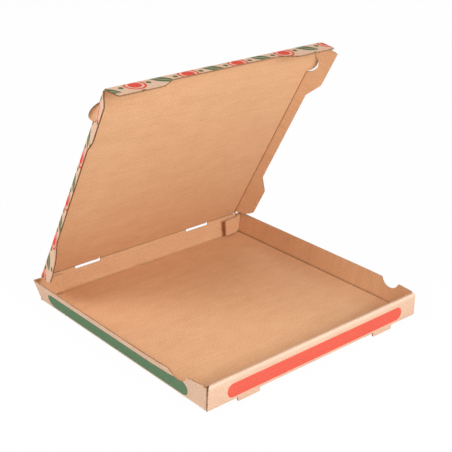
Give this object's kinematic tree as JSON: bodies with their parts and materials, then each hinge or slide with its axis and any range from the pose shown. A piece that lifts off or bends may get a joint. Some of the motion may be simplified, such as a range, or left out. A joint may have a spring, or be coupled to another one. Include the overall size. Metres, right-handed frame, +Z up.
{
  "type": "pizza box",
  "caption": "Shallow square corrugated card box folded from one sheet, with a hinged lid, tuck flaps, thumb notches and a rolled, locked front wall, for carrying a pizza.",
  "frame": {"origin": "centre of the tray's underside, in the plane of the base's outer face", "axes": "+X to the right seen from the front, +Y from the rolled front wall to the hinge, +Z up out of the tray"},
  "size_m": [0.3456, 0.3343, 0.3128],
  "materials": {
    "kraft_board": "uncoated brown kraft liner, matt"
  },
  "bodies": {
    "tray": {"tray": "kraft_board"},
    "lid": {"lid_panel": "kraft_board"},
    "front_flap": {"lid_front_flap": "kraft_board"},
    "left_flap": {"lid_left_flap": "kraft_board"},
    "right_flap": {"lid_right_flap": "kraft_board"},
    "left_corner_flap": {"back_left_corner_flap": "kraft_board"},
    "right_corner_flap": {"back_right_corner_flap": "kraft_board"}
  },
  "joints": [
    {"name": "lid_hinge", "type": "hinge", "parent": "tray", "child": "lid", "pos_m": [0, 0.16852, 0.0292], "axis": [-1, 0, 0], "range_deg": [-60, 120]},
    {"name": "front_flap_fold", "type": "hinge", "parent": "lid", "child": "front_flap", "pos_m": [0, 0.00756, 0.30799], "axis": [-1, 0, 0], "range_deg": [-25.2, 50.4]},
    {"name": "left_flap_fold", "type": "hinge", "parent": "lid", "child": "left_flap", "pos_m": [-0.1596, 0.16852, 0.0292], "axis": [0, 0.5, -0.866], "range_deg": [-30, 60]},
    {"name": "right_flap_fold", "type": "hinge", "parent": "lid", "child": "right_flap", "pos_m": [0.1596, 0.16852, 0.0292], "axis": [0, -0.5, 0.866], "range_deg": [-30, 60]},
    {"name": "left_corner_swing", "type": "hinge", "parent": "tray", "child": "left_corner_flap", "pos_m": [-0.16416, 0.16229, 0.00169], "axis": [0.2558, -0.1512, -0.9548], "range_deg": [-3, 27]},
    {"name": "right_corner_swing", "type": "hinge", "parent": "tray", "child": "right_corner_flap", "pos_m": [0.16416, 0.16229, 0.00169], "axis": [0.2558, 0.1512, 0.9548], "range_deg": [-14, 16]}
  ],
  "couplings": [
    {"joint": "front_flap_fold", "follows": "lid_hinge", "ratio": 0.42},
    {"joint": "left_flap_fold", "follows": "lid_hinge", "ratio": 0.5},
    {"joint": "right_flap_fold", "follows": "lid_hinge", "ratio": 0.5}
  ]
}
